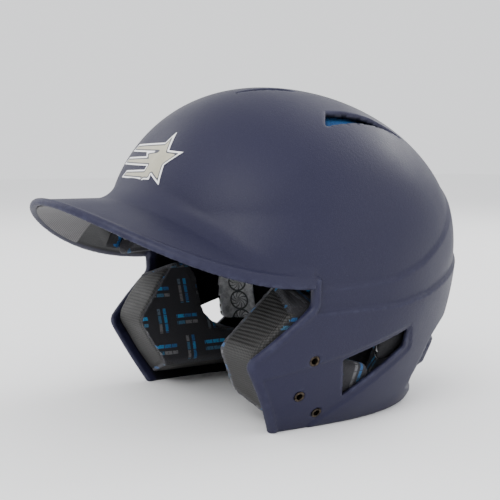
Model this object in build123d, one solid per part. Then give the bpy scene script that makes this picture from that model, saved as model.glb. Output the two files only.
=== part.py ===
"""A two-flap batting helmet: moulded shell with a brim, foam liner blocks, fabric comfort pads, jaw pads,
guard inserts and decals. Lengths are millimetres.

Everything is drawn about the head axis, the upright line through the shell's highest point, and moved
onto the part frame when it is written. The wearer faces -Y, +X is the wearer's left, and the shell's
lower rim stands on Z = 0.
"""

from build123d import *

import math
import os

# Shell outline
HALF_WIDTH = 108.0
HALF_LENGTH = 119.0
WIDEST_Z = 98.0
DOME_HEIGHT = 107.0
DOME_POWER = 2.04
BACKSET = 14.4  # how far the widest level's centre lies behind the head axis
RIM_NARROWING = 26.0
RIM_SHORTENING = 10.4
RIM_ADVANCE = 19.4
FOREHEAD_SQUARENESS = 2.05
FLAP_SQUARENESS = 3.05
SQUARE_BELOW_Z = 85.0
ROUND_ABOVE_Z = 130.0
BACK_SQUARENESS = 2.1
WALL = 3.6

# Brim
BRIM_Z = 135.0  # top surface on the centre line
BRIM_ARCH = 0.004  # drop per square millimetre of distance from the centre line
BRIM_HALF_WIDTH = 106.0
BRIM_ROOT_Y = -33.0
BRIM_TIP_Y = -152.0
BRIM_WALL = 3.6
BRIM_EDGE_FILLET = 1.3

# Thin film under the front of the brim
FILM_BACK_Y = -93.0
FILM_RIM_GAP = 5.5
FILM_GAP = 0.15
FILM_THICKNESS = 0.8

# Face opening, seen from the side: (y, z) corners from the brim's corner down the flap's front edge
FLAP_CORNER = (-33.0, 76.0)
FLAP_NOSE = (-69.0, 45.0)
FLAP_TOE = (-46.0, 1.0)
FLAP_NOSE_FILLET = 9.0

# Ear window behind each flap, seen from the side: (y, z) corners
EAR_WINDOW = [(-8.5, 42.5), (40.7, 56.5), (40.0, 45.5), (-2.3, 18.5)]

# Crown vents of the +X side, seen from above: (x, y) corners
CROWN_VENTS = [
    [(19, 1), (31, 6), (16, -36)],
    [(24, 57), (36, 66), (42, 90)],
    [(60, 7), (72, -2), (60, 72), (56, 42)],
]
REAR_VENT = [(69, 56), (80, 56), (80, 45)]  # small corner vent, seen from behind: (x, z)

# Face-guard inserts of each flap: (y, z) places
GUARD_HOLES = {"upper": (-29.0, 44.0), "front": (-34.0, 22.4), "lower": (-18.0, 9.6)}
INSERT_BORE_R = 2.02  # tap drill of a 10-32 thread
INSERT_BARREL_R = 3.2
INSERT_FLANGE_R = 6.2
INSERT_FLANGE = 1.0
INSERT_RECESS = 0.5  # the barrel's end stands this far inside the shell's outer face
INSERT_SEAT_GAP = 0.35  # keeps the flat flange clear of the curved wall
BORE_CLEARANCE = 0.1

# Rear panel, a raised plate on the lower back: (x, z) corners of the +X half
REAR_PANEL = [(0, 46), (62, 46), (64, 43), (62, 30), (40, 25.5), (0, 23)]
REAR_PANEL_RISE = 2.2

# Foam layers, as distances in from the shell's outer face
LINER_OUT = WALL + 0.5
LINER_IN = 14.0
PAD_OUT = 14.4
PAD_IN = 23.5
JAW_PAD_CLEARANCE = 2.2
EAR_PANEL_IN = 11.0

LAYER_LOW_Z = 1.5  # where the layers are cut off above the shell's lower rim

# Liner and pad blocks: degrees round the head from straight ahead, then lowest and highest level
LINER_BLOCKS = {
    "front_liner": (-39, 39, 121, 158),
    "left_liner": (43, 128, 96, 158),
    "rear_liner": (135, 225, 2, 158),
}
PAD_BLOCKS = {
    "brow_pad": (-36, 36, 118, 154),
    "left_temple_pad": (46, 86, 92, 152),
    "left_side_pad": (89, 126, 92, 152),
    "left_rear_pad": (139, 179.3, 3, 150),
}
CROWN_LINER_Z = 161.0
CROWN_PAD_WIDTH = 84.0
CROWN_PAD_LENGTH = 116.0
CROWN_PAD_CORNER = 18.0
CROWN_PAD_Y = 6.0

# Outlines of the +X side's jaw pad and ear panel, seen from the side, (y, z), and from the front, (x, z)
JAW_PAD_SIDE = [(-33, 86), (-22, 90), (-15, 76), (-14, 52), (-3, 40), (15, 37), (21, 30), (19, 3),
                (-38, 3), (-43, 6), (-64, 46), (-62.5, 52)]
JAW_PAD_FRONT = [(63, 88), (42, 22), (46, 16), (76, 5.5), (120, -10), (120, 68)]
JAW_PAD_POCKET_GAP = 0.8  # room round each insert's flange
JAW_PAD_POCKET_DEPTH = 7.8  # below the shell's outer face
EAR_PANEL_SIDE = [(22, 38), (50, 36), (52, 79), (24, 80)]

# Printed decals, as distances out from the shell's outer face
DECAL_GAP = 0.1
DECAL_OUT = 0.45

# Emblem on the forehead: a star with stripes that trail to the wearer's right, lowest stripe first
EMBLEM_Z = 157.0
STAR_X = 19.0
STAR_RADIUS = 17.0
STRIPE_LENGTHS = (32.0, 41.0, 37.0)
STRIPE_PITCH = 8.0
STRIPE_HALF_HEIGHT = 3.0
STRIPE_TIP_HALF_HEIGHT = 2.2
STRIPE_SLANT = 5.0

# Numerals on the back
NUMERAL_X = 10.6
NUMERAL_Z = 88.0
NUMERAL_WIDTH = 18.5
NUMERAL_HEIGHT = 33.0
NUMERAL_STROKE = 6.2
NUMERAL_CHAMFER = 4.5

PLAN_POINTS = 32
FAR = 250.0  # larger than the helmet, for cutting blocks


def eased(share):
    share = max(0.0, min(1.0, share))
    return share * share * (3 - 2 * share)


def plan_at(z, grow):
    """Half width, half length, centre y and front squareness of the outline at height z, grown outward."""
    square = FOREHEAD_SQUARENESS + (FLAP_SQUARENESS - FOREHEAD_SQUARENESS) * eased(
        (ROUND_ABOVE_Z - z) / (ROUND_ABOVE_Z - SQUARE_BELOW_Z)
    )
    if z >= WIDEST_Z:
        rise = min((z - WIDEST_Z) / (DOME_HEIGHT + grow), 1.0)
        share = (1 - rise**DOME_POWER) ** (1 / DOME_POWER)
        return (HALF_WIDTH + grow) * share, (HALF_LENGTH + grow) * share, BACKSET * share**1.5, square
    drop = (WIDEST_Z - z) / WIDEST_Z
    half_width = HALF_WIDTH + grow - RIM_NARROWING * drop**2.3
    half_length = HALF_LENGTH + grow - RIM_SHORTENING * drop**2.6
    return half_width, half_length, BACKSET - RIM_ADVANCE * drop**1.3, square


def plan_radius(angle, half_width, half_length, square_front):
    """Distance from the outline's centre to the outline, in the direction of angle from +X."""
    square = square_front if math.sin(angle) < 0 else BACK_SQUARENESS
    across = (abs(math.cos(angle)) / half_width) ** square
    along = (abs(math.sin(angle)) / half_length) ** square
    return (across + along) ** (-1 / square)


def outline(z, grow):
    half_width, half_length, centre, square = plan_at(z, grow)
    points = []
    for step in range(PLAN_POINTS):
        angle = 2 * math.pi * step / PLAN_POINTS
        reach = plan_radius(angle, half_width, half_length, square)
        points.append((reach * math.cos(angle), centre + reach * math.sin(angle), z))
    return Wire([Spline(*points, periodic=True)])


def head_body(grow, low_z=0.0):
    """The solid inside the shell's outer face, moved outward by grow."""
    lower = [low_z + (WIDEST_Z - low_z) * step / 5 for step in range(5)]
    upper = [WIDEST_Z + (DOME_HEIGHT + grow) * math.sin(math.radians(a)) for a in range(0, 85, 12)]
    top = [WIDEST_Z + (DOME_HEIGHT + grow) * 0.9985]
    return Solid.make_loft([outline(z, grow) for z in lower + upper + top])


def outward(y, z):
    """The point of the +X side's outer face at (y, z), and the face's outward direction there."""

    def excess(x, y, z):
        half_width, half_length, centre, square = plan_at(z, 0)
        if y > centre:
            square = BACK_SQUARENESS
        return (abs(x) / half_width) ** square + (abs(y - centre) / half_length) ** square - 1

    half_width, half_length, centre, square = plan_at(z, 0)
    if y > centre:
        square = BACK_SQUARENESS
    x = half_width * (1 - (abs(y - centre) / half_length) ** square) ** (1 / square)
    step = 0.01
    slope = Vector(
        excess(x + step, y, z) - excess(x - step, y, z),
        excess(x, y + step, z) - excess(x, y - step, z),
        excess(x, y, z + step) - excess(x, y, z - step),
    )
    return Vector(x, y, z), slope.normalized()


def side_prism(corners, x_from=30.0, x_to=140.0, fillet_r=0.0):
    """A prism along X, from (y, z) corners."""
    face = Plane.YZ * Polygon(*corners, align=None)
    if fillet_r:
        face = fillet(face.vertices(), fillet_r)
    return Pos(x_from, 0, 0) * extrude(face, x_to - x_from, dir=(1, 0, 0))


def back_prism(corners, y_from, y_to, fillet_r=0.0):
    """A prism along Y, from (x, z) corners."""
    face = Plane.XZ * Polygon(*corners, align=None)
    if fillet_r:
        face = fillet(face.vertices(), fillet_r)
    return Pos(0, y_from, 0) * extrude(face, y_to - y_from, dir=(0, 1, 0))


def mirrored(shape):
    return mirror(shape, about=Plane.YZ)


def arch(z_mid, x):
    return z_mid - BRIM_ARCH * x * x


def arch_block(z_top, z_low, y_from, y_to, half_width=125.0):
    """A block along Y with an arched top, and an arched or, where z_low is None, a flat underside."""
    edge, crest = arch(z_top, half_width), z_top + BRIM_ARCH * half_width**2
    top = Bezier((-half_width, edge), (0, crest), (half_width, edge))
    if z_low is None:
        sides = Polyline((half_width, edge), (half_width, -10), (-half_width, -10), (-half_width, edge))
        face = make_face([top, sides])
    else:
        low_edge, low_crest = arch(z_low, half_width), z_low + BRIM_ARCH * half_width**2
        low = Bezier((-half_width, low_edge), (0, low_crest), (half_width, low_edge))
        left = Line((-half_width, low_edge), (-half_width, edge))
        right = Line((half_width, low_edge), (half_width, edge))
        face = make_face([top, right, low, left])
    return Pos(0, y_from, 0) * extrude(Plane.XZ * face, y_to - y_from, dir=(0, 1, 0))


def brim_slab(z_top, z_low, inset, rim_fillet=0.0):
    """The front half of an arched plate with an elliptical plan."""
    ellipse = Ellipse(BRIM_HALF_WIDTH - inset, BRIM_ROOT_Y - BRIM_TIP_Y - inset)
    plate = arch_block(z_top, z_low, BRIM_TIP_Y - 5, 200) & Pos(0, BRIM_ROOT_Y, 60) * extrude(ellipse, 90)
    if rim_fillet:
        plate = fillet(plate.edges(), rim_fillet)
    return plate & Pos(0, BRIM_ROOT_Y - FAR / 2, 0) * Box(FAR, FAR, 2 * FAR)


def face_cut():
    """What is taken out below the brim and in front of the flaps."""
    (corner_y, corner_z), (nose_y, nose_z), (toe_y, toe_z) = FLAP_CORNER, FLAP_NOSE, FLAP_TOE
    front = BRIM_TIP_Y - 10
    corners = [(corner_y, 150), (corner_y, corner_z), (nose_y, nose_z), (toe_y, toe_z),
               (toe_y + 8, -6), (front, -6), (front, 150)]
    face = Plane.YZ * Polygon(*corners, align=None)
    rounded = [v for v in face.vertices() if v.Z < 100 and v.Z > 0 and v.Y > front + 1]
    face = fillet(rounded, FLAP_NOSE_FILLET)
    prism = Pos(-130, 0, 0) * extrude(face, 260, dir=(1, 0, 0))
    return prism & arch_block(BRIM_Z - BRIM_WALL, None, front, BRIM_ROOT_Y + 1, half_width=130)


def crown_prism(corners):
    face = Polygon(*corners, align=None)
    return Pos(0, 0, 150) * extrude(face, 70)


def axis_plane(name, side=1):
    """A plane on the outer face at a guard hole, its z axis pointing out of the shell."""
    point, direction = outward(*GUARD_HOLES[name])
    origin = Vector(side * point.X, point.Y, point.Z)
    return Plane(origin=origin, z_dir=Vector(side * direction.X, direction.Y, direction.Z))


def drill(name, side, radius, depth_from, depth_to):
    """A cylinder along a guard hole's axis, between two depths below the outer face."""
    rod = Pos(0, 0, -depth_to) * Cylinder(
        radius, depth_to - depth_from, align=(Align.CENTER, Align.CENTER, Align.MIN)
    )
    return axis_plane(name, side) * rod


def make_insert(name, side):
    seat = WALL + INSERT_SEAT_GAP
    barrel = drill(name, side, INSERT_BARREL_R, INSERT_RECESS, seat + INSERT_FLANGE)
    flange = drill(name, side, INSERT_FLANGE_R, seat, seat + INSERT_FLANGE)
    return barrel + flange - drill(name, side, INSERT_BORE_R, -1, seat + INSERT_FLANGE + 1)


def make_shell(outer, inner):
    dome = outer - head_body(-WALL, low_z=-2.0)
    brim = brim_slab(BRIM_Z, BRIM_Z - BRIM_WALL, 0, BRIM_EDGE_FILLET)
    shell = dome + (brim - inner) - face_cut()
    panel = back_prism(REAR_PANEL + [(-x, z) for x, z in reversed(REAR_PANEL[1:-1])], 60, 150)
    shell = shell + (panel & (head_body(REAR_PANEL_RISE) - inner))
    window = side_prism(EAR_WINDOW, 60, 130, fillet_r=1.2)
    rear_vent = back_prism(REAR_VENT, 50, 130)
    for opening in [window, rear_vent] + [crown_prism(corners) for corners in CROWN_VENTS]:
        shell = shell - opening - mirrored(opening)
    for name in GUARD_HOLES:
        for side in (1, -1):
            shell = shell - drill(name, side, INSERT_BARREL_R + BORE_CLEARANCE, -3, WALL + 3)
    return shell


def sector(from_deg, to_deg, z_from, z_to, reach=170.0):
    """An upright wedge about the head axis. Angles run from straight ahead, round by the wearer's left."""
    steps = [from_deg + (to_deg - from_deg) * i / 4 for i in range(5)]
    rim = [(reach * math.sin(math.radians(a)), -reach * math.cos(math.radians(a))) for a in steps]
    return Pos(0, 0, z_from) * extrude(Polygon((0, 0), *rim, align=None), z_to - z_from)


def layer(out, inside):
    return head_body(-out, low_z=LAYER_LOW_Z) - head_body(-inside, low_z=LAYER_LOW_Z - 0.5)


def jaw_pad(body):
    """The thick pad inside a flap: up the flap's front edge and back below the ear."""
    side = side_prism(JAW_PAD_SIDE, 20, 120, fillet_r=3.0)
    pad = side & back_prism(JAW_PAD_FRONT, -110, 60, fillet_r=2.0) & body
    for name in GUARD_HOLES:
        pad = pad - drill(name, 1, INSERT_FLANGE_R + JAW_PAD_POCKET_GAP, 0, JAW_PAD_POCKET_DEPTH)
    return pad


def star(radius, points=5, waist=0.46):
    """Corners of a star standing on two points, about the origin."""
    corners = []
    for step in range(2 * points):
        reach = radius if step % 2 == 0 else radius * waist
        angle = math.pi / 2 + math.pi * step / points
        corners.append((reach * math.cos(angle), reach * math.sin(angle)))
    return corners


def emblem_prism():
    """The star and its stripes, as a prism along Y."""
    prism = back_prism([(STAR_X + x, EMBLEM_Z + z) for x, z in star(STAR_RADIUS)], -140, -40)
    for row, length in enumerate(STRIPE_LENGTHS, start=-1):
        z, tip = EMBLEM_Z + STRIPE_PITCH * row, STAR_X - length
        stripe = [(STAR_X, z - STRIPE_HALF_HEIGHT), (STAR_X, z + STRIPE_HALF_HEIGHT),
                  (tip, z + STRIPE_TIP_HALF_HEIGHT), (tip - STRIPE_SLANT, z - STRIPE_TIP_HALF_HEIGHT)]
        prism = prism + back_prism(stripe, -140, -40)
    return prism


def digit_prism(x_mid):
    """A block numeral nought as a prism along Y."""
    w, h, cut = NUMERAL_WIDTH / 2, NUMERAL_HEIGHT / 2, NUMERAL_CHAMFER
    octagon = [(-w, -h + cut), (-w + cut, -h), (w - cut, -h), (w, -h + cut),
               (w, h - cut), (w - cut, h), (-w + cut, h), (-w, h - cut)]
    whole = back_prism([(x_mid + x, NUMERAL_Z + z) for x, z in octagon], 90, 150)
    w, h = w - NUMERAL_STROKE, h - NUMERAL_STROKE
    inside = [(-w, -h), (w, -h), (w, h), (-w, h)]
    return whole - back_prism([(x_mid + x, NUMERAL_Z + z) for x, z in inside], 90, 150)


def frame_shift():
    """How far back everything moves, so that the origin is under the middle of the length."""
    back = BACKSET + HALF_LENGTH + DECAL_OUT
    return (-BRIM_TIP_Y - back) / 2


def build():
    outer = head_body(0)
    inner = head_body(-WALL, low_z=-2.0)
    parts = {"shell": make_shell(outer, inner)}

    film_top = BRIM_Z - BRIM_WALL - FILM_GAP
    film = brim_slab(film_top, film_top - FILM_THICKNESS, FILM_RIM_GAP)
    parts["brim_underside_panel"] = film & Pos(0, FILM_BACK_Y - FAR / 2, 0) * Box(FAR, FAR, 2 * FAR)

    # Firm liner blocks against the shell
    liner = layer(LINER_OUT, LINER_IN)
    for name, block in LINER_BLOCKS.items():
        parts[name] = liner & sector(*block)
    parts["crown_liner"] = liner & Pos(0, 0, CROWN_LINER_Z + FAR / 2) * Box(2 * FAR, 2 * FAR, FAR)

    # Soft pads on the liner blocks
    pads = layer(PAD_OUT, PAD_IN)
    for name, block in PAD_BLOCKS.items():
        parts[name] = pads & sector(*block)
    crown = RectangleRounded(CROWN_PAD_WIDTH, CROWN_PAD_LENGTH, CROWN_PAD_CORNER)
    parts["crown_pad"] = pads & Pos(0, CROWN_PAD_Y, CROWN_LINER_Z) * extrude(crown, FAR)

    parts["left_jaw_pad"] = jaw_pad(head_body(-(WALL + JAW_PAD_CLEARANCE), low_z=LAYER_LOW_Z))
    ear_block = side_prism(EAR_PANEL_SIDE, 40, 120, fillet_r=2.0)
    parts["left_ear_panel"] = layer(LINER_OUT, EAR_PANEL_IN) & ear_block

    for name in ("liner", "temple_pad", "side_pad", "rear_pad", "jaw_pad", "ear_panel"):
        parts[f"right_{name}"] = mirrored(parts[f"left_{name}"])

    inserts = [make_insert(name, side) for name in GUARD_HOLES for side in (1, -1)]
    parts["guard_inserts"] = Compound(children=inserts)

    decal_skin = head_body(DECAL_OUT) - head_body(DECAL_GAP)
    parts["front_emblem"] = decal_skin & emblem_prism()
    parts["left_numeral"] = decal_skin & digit_prism(NUMERAL_X)
    parts["right_numeral"] = decal_skin & digit_prism(-NUMERAL_X)
    return parts


def main():
    os.makedirs("parts", exist_ok=True)
    for name, shape in build().items():
        solids = shape.solids()
        print(f"{name}: {len(solids)} solid(s), {sum(s.volume for s in solids):.0f} mm3")
        whole = solids[0] if len(solids) == 1 else Compound(children=list(solids))
        export_step(Pos(0, frame_shift(), 0) * whole, f"parts/{name}.step")
    for name in GUARD_HOLES:
        point, direction = outward(*GUARD_HOLES[name])
        print(f"guard hole {name}: at {tuple(point)} towards {tuple(direction)} before the frame shift")
    print(f"frame shift {frame_shift():.3f}")


main()
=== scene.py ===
"""The looks of a two-flap batting helmet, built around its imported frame.

Shapes are signed distance fields in millimetres about the head axis, the upright line through the
shell's highest point: negative inside, -Y the way the wearer faces, +X the wearer's left. Each field
is meshed by dual contouring and moved into the row frame, in metres.
"""

import math

import bpy
import numpy as np
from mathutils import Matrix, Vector
from mathutils.geometry import delaunay_2d_cdt


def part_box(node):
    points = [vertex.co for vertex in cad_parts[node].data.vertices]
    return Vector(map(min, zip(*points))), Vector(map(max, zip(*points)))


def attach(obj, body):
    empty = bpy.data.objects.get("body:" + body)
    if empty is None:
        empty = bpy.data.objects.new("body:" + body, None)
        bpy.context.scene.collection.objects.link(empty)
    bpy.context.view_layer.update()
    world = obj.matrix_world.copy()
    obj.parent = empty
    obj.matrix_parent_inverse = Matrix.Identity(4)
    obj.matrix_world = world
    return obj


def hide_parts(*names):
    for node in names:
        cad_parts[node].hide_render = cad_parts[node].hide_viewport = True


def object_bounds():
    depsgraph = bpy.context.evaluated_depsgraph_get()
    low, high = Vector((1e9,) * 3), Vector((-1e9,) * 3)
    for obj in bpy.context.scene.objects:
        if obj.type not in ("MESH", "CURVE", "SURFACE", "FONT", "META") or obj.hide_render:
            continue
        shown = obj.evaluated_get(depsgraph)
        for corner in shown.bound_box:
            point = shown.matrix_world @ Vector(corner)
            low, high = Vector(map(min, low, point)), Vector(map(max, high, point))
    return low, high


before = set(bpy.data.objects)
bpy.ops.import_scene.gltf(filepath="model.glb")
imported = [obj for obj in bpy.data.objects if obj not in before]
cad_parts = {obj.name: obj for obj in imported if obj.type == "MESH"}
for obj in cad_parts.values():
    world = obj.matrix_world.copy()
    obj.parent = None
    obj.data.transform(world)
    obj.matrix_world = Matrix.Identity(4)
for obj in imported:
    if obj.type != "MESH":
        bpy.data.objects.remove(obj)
cad_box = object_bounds()

MM = 0.001

# Shell outline, as in the frame
HALF_WIDTH = 108.0
HALF_LENGTH = 119.0
WIDEST_Z = 98.0
DOME_HEIGHT = 107.0
DOME_POWER = 2.04
BACKSET = 14.4
RIM_NARROWING, RIM_NARROWING_POWER = 26.0, 2.3
RIM_SHORTENING, RIM_SHORTENING_POWER = 10.4, 2.6
RIM_ADVANCE, RIM_ADVANCE_POWER = 19.4, 1.3
FOREHEAD_SQUARENESS, FLAP_SQUARENESS, BACK_SQUARENESS = 2.05, 3.05, 2.1
SQUARE_BELOW_Z, ROUND_ABOVE_Z = 85.0, 130.0
WALL = 3.4

# Brim
BRIM_Z = 135.0
BRIM_ARCH = 0.004
BRIM_HALF_WIDTH = 106.0
BRIM_ROOT_Y = -33.0
BRIM_TIP_Y = -152.0
BRIM_WALL = 3.6

HEAD_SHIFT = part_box("shell")[0].y / MM - BRIM_TIP_Y  # from the head axis to the row's origin


# ---- fields

def smooth(share):
    share = np.clip(share, 0.0, 1.0)
    return share * share * (3 - 2 * share)


def union(a, b, radius):
    """Union of two fields with a fillet of that radius."""
    near = np.hypot(np.maximum(radius - a, 0), np.maximum(radius - b, 0))
    return np.maximum(radius, np.minimum(a, b)) - near


def meet(a, b, radius):
    """Intersection of two fields with its edge rounded to that radius."""
    return -union(-a, -b, radius)


def polygon(corners, u, v):
    """Signed distance in a plane to a closed polygon, negative inside."""
    corners = np.asarray(corners, float)
    best = np.full(u.shape, np.inf)
    inside = np.zeros(u.shape, bool)
    for (u0, v0), (u1, v1) in zip(corners, np.roll(corners, -1, axis=0)):
        du, dv = u1 - u0, v1 - v0
        along = np.clip(((u - u0) * du + (v - v0) * dv) / (du * du + dv * dv), 0, 1)
        best = np.minimum(best, (u - u0 - along * du) ** 2 + (v - v0 - along * dv) ** 2)
        if dv:
            crosses = (v0 <= v) != (v1 <= v)
            inside ^= crosses & (u < u0 + (v - v0) * du / dv)
    return np.where(inside, -1, 1) * np.sqrt(best)


def filleted(corners, radius, steps=5):
    """The corners of a polygon with each corner turned into an arc of up to that radius."""
    corners = [np.asarray(c, float) for c in corners]
    points = []
    for before, here, after in zip(corners[-1:] + corners[:-1], corners, corners[1:] + corners[:1]):
        back, ahead = before - here, after - here
        back_length, ahead_length = np.linalg.norm(back), np.linalg.norm(ahead)
        back, ahead = back / back_length, ahead / ahead_length
        half = math.acos(np.clip(back @ ahead, -1, 1)) / 2
        if abs(half - math.pi / 2) < 0.02:
            points.append(here)
            continue
        cut = min(radius / math.tan(half), 0.45 * back_length, 0.45 * ahead_length)
        start, end = here + back * cut, here + ahead * cut
        for step in range(steps + 1):
            share = step / steps
            points.append((1 - share) ** 2 * start + 2 * share * (1 - share) * here + share**2 * end)
    return points


def head_level(x, y, z, grow):
    half_width = HALF_WIDTH + grow
    half_length = HALF_LENGTH + grow
    rise = np.maximum(z - WIDEST_Z, 0) / (DOME_HEIGHT + grow)
    share = np.maximum(1 - rise**DOME_POWER, 0) ** (1 / DOME_POWER)
    drop = np.maximum(WIDEST_Z - z, 0) / WIDEST_Z
    half_width = half_width - RIM_NARROWING * drop**RIM_NARROWING_POWER
    half_length = half_length - RIM_SHORTENING * drop**RIM_SHORTENING_POWER
    centre = BACKSET * share**1.5 - RIM_ADVANCE * drop**RIM_ADVANCE_POWER
    square = FOREHEAD_SQUARENESS + (FLAP_SQUARENESS - FOREHEAD_SQUARENESS) * smooth(
        (ROUND_ABOVE_Z - z) / (ROUND_ABOVE_Z - SQUARE_BELOW_Z)
    )
    square = np.where(y > centre, BACK_SQUARENESS, square)
    ratio = (np.abs(x) / half_width) ** square + (np.abs(y - centre) / half_length) ** square
    return (ratio ** (DOME_POWER / square) + rise**DOME_POWER) ** (1 / DOME_POWER)


def head(x, y, z, grow=0.0):
    """Distance to the shell's outer face moved outward by grow."""
    step = 0.05
    level = head_level(x, y, z, grow)
    slope_x = head_level(x + step, y, z, grow) - level
    slope_y = head_level(x, y + step, z, grow) - level
    slope_z = head_level(x, y, z + step, grow) - level
    slope = np.sqrt(slope_x**2 + slope_y**2 + slope_z**2) / step
    return (level - 1) / np.maximum(slope, 1e-4)


# ---- meshing

CHUNK = 400_000  # points worked out at a time
BLOCK = 6  # grid cells along a block's side
SPACE_LOW, SPACE_HIGH = (-114, -157, -4), (114, 142, 210)  # the space that is meshed
HALF_SPACE_LOW = (-3, -157, -4)  # its low corner for the +X side's pieces


def field_at(field, points):
    values = np.empty(len(points))
    for start in range(0, len(points), CHUNK):
        part = points[start : start + CHUNK]
        values[start : start + CHUNK] = field(part[:, 0], part[:, 1], part[:, 2])
    return values


def sample_grid(field, low, counts, cell):
    """The field on a grid, worked out only in blocks near its surface; elsewhere only the sign is right."""
    blocks = -(-(counts - 1) // BLOCK)
    centres = np.stack(np.meshgrid(*[np.arange(n) for n in blocks], indexing="ij"), -1).reshape(-1, 3)
    middle = field_at(field, low + (centres + 0.5) * BLOCK * cell).reshape(blocks)
    near = np.abs(middle) < BLOCK * cell * 1.5
    values, wanted = middle, near
    for axis in range(3):
        values = np.repeat(values, BLOCK, axis)
        wanted = np.repeat(wanted, BLOCK, axis)
        last = np.take(values, [-1], axis)
        values = np.concatenate([values, last], axis)
        edge = np.zeros_like(np.take(wanted, [0], axis))
        wanted = np.concatenate([wanted, edge], axis) | np.concatenate([edge, wanted], axis)
    places = np.argwhere(wanted)
    values[wanted] = field_at(field, low + places * cell)
    return values


def crossings(field, values, low, cell, axis):
    """Grid edges along one axis where the surface passes: their lower ends, the points and the signs."""
    lower = np.take(values, range(values.shape[axis] - 1), axis)
    upper = np.take(values, range(1, values.shape[axis]), axis)
    places = np.argwhere((lower < 0) != (upper < 0))
    spot = tuple(places.T)
    near, far = lower[spot], upper[spot]
    start, end = np.zeros(len(places)), np.ones(len(places))
    base = low + places * cell
    direction = np.zeros(3)
    direction[axis] = cell
    for _ in range(3):
        share = start + (end - start) * np.clip(near / (near - far), 0.02, 0.98)
        found = field_at(field, base + share[:, None] * direction)
        same = (found < 0) == (near < 0)
        start, near = np.where(same, share, start), np.where(same, found, near)
        end, far = np.where(same, end, share), np.where(same, far, found)
    share = start + (end - start) * near / (near - far)
    return places, base + share[:, None] * direction, lower[spot] < 0


def slopes(field, points, step=0.03):
    here = field_at(field, points)
    normal = np.stack([field_at(field, points + step * np.eye(3)[i]) - here for i in range(3)], 1)
    return normal / np.maximum(np.linalg.norm(normal, axis=1, keepdims=True), 1e-9)


def contour(field, low, high, cell):
    """Vertices and quads of the surface where the field is zero, by dual contouring."""
    low = np.asarray(low, float)
    counts = (np.ceil((np.asarray(high) - low) / cell / BLOCK).astype(int)) * BLOCK + 1
    values = sample_grid(field, low, counts, cell)
    cells, points, normals, quads = [], [], [], []
    for axis in range(3):
        places, found, rising = crossings(field, values, low, cell, axis)
        direction = slopes(field, found)
        second, third = (axis + 1) % 3, (axis + 2) % 3
        around = np.repeat(places[:, None, :], 4, 1)
        around[:, 0, second] -= 1
        around[:, 0, third] -= 1
        around[:, 1, third] -= 1
        around[:, 3, second] -= 1
        index = np.ravel_multi_index(tuple(np.moveaxis(around, 2, 0)), counts, mode="clip")
        cells.append(index.reshape(-1))
        points.append(np.repeat(found, 4, 0))
        normals.append(np.repeat(direction, 4, 0))
        quads.append(np.where(rising[:, None], index, index[:, ::-1]))
    cells, points, normals = np.concatenate(cells), np.concatenate(points), np.concatenate(normals)
    quads = np.concatenate(quads)
    names, where = np.unique(cells, return_inverse=True)
    total = len(names)

    def gathered(weights):
        return np.bincount(where, weights, total)

    count = np.bincount(where, minlength=total)
    middle = np.stack([gathered(points[:, i]) / count for i in range(3)], 1)
    reach = np.sum(normals * (points - middle[where]), 1)
    matrix = np.empty((total, 3, 3))
    for i in range(3):
        for j in range(3):
            matrix[:, i, j] = gathered(normals[:, i] * normals[:, j]) + (0.08 * count if i == j else 0)
    right = np.stack([gathered(normals[:, i] * reach) for i in range(3)], 1)
    vertices = middle + np.linalg.solve(matrix, right[:, :, None])[:, :, 0]
    corner = low + np.stack(np.unravel_index(names, counts), 1) * cell
    vertices = np.clip(vertices, corner - 0.1 * cell, corner + 1.1 * cell)
    return vertices, np.searchsorted(names, quads)


def add_mesh(name, vertices, faces, smooth_shading=True):
    """A mesh object in the row frame, from head-axis millimetres and quads or triangles."""
    vertices = (np.asarray(vertices, float) + [0, HEAD_SHIFT, 0]) * MM
    faces = np.asarray(faces)
    mesh = bpy.data.meshes.new(name)
    mesh.vertices.add(len(vertices))
    mesh.vertices.foreach_set("co", vertices.astype(np.float32).ravel())
    mesh.loops.add(faces.size)
    mesh.loops.foreach_set("vertex_index", faces.astype(np.int32).ravel())
    mesh.polygons.add(len(faces))
    mesh.polygons.foreach_set("loop_start", np.arange(0, faces.size, faces.shape[1], dtype=np.int32))
    mesh.polygons.foreach_set("use_smooth", np.full(len(faces), smooth_shading))
    mesh.update(calc_edges=True)
    mesh.validate()
    piece = bpy.data.objects.new(name, mesh)
    bpy.context.scene.collection.objects.link(piece)
    return piece


def skin(name, field, cell):
    """A mesh object of a field's surface."""
    return add_mesh(name, *contour(field, SPACE_LOW, SPACE_HIGH, cell))


def read(items, name, width=3, kind=np.float32):
    """One property of a mesh's vertices, edges, loops or faces, as rows."""
    values = np.empty(len(items) * width, kind)
    items.foreach_get(name, values)
    return values.reshape(-1, width)


def head_places(points):
    """Head-axis millimetres from points of the row frame."""
    return points / MM - [0, HEAD_SHIFT, 0]


def mark(piece, name, values):
    """A number at each vertex, as an attribute for the materials."""
    attribute = piece.data.attributes.new(name, "FLOAT", "POINT")
    attribute.data.foreach_set("value", values.astype(np.float32))


# ---- shell

SHELL_CELL = 1.5
FLAP_EDGE = [(-33, 76), (-69, 45), (-46, 1)]
FLAP_LIP = 2.5  # bead along the flap's front edge
BRIM_LIP = 2.5  # bead along the brim's rim
LIP_INSET = 2.0
BROW_FILLET, TEMPLE_FILLET, TEMPLE_X = 15.0, 4.0, 95.0  # dome to brim, in the middle and at the temples
CUT_EDGE = 0.6  # rounding of the edges of windows and vents
VENT_SPREAD = 0.6  # how much wider a vent gets for each millimetre outward, near the face

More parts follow.
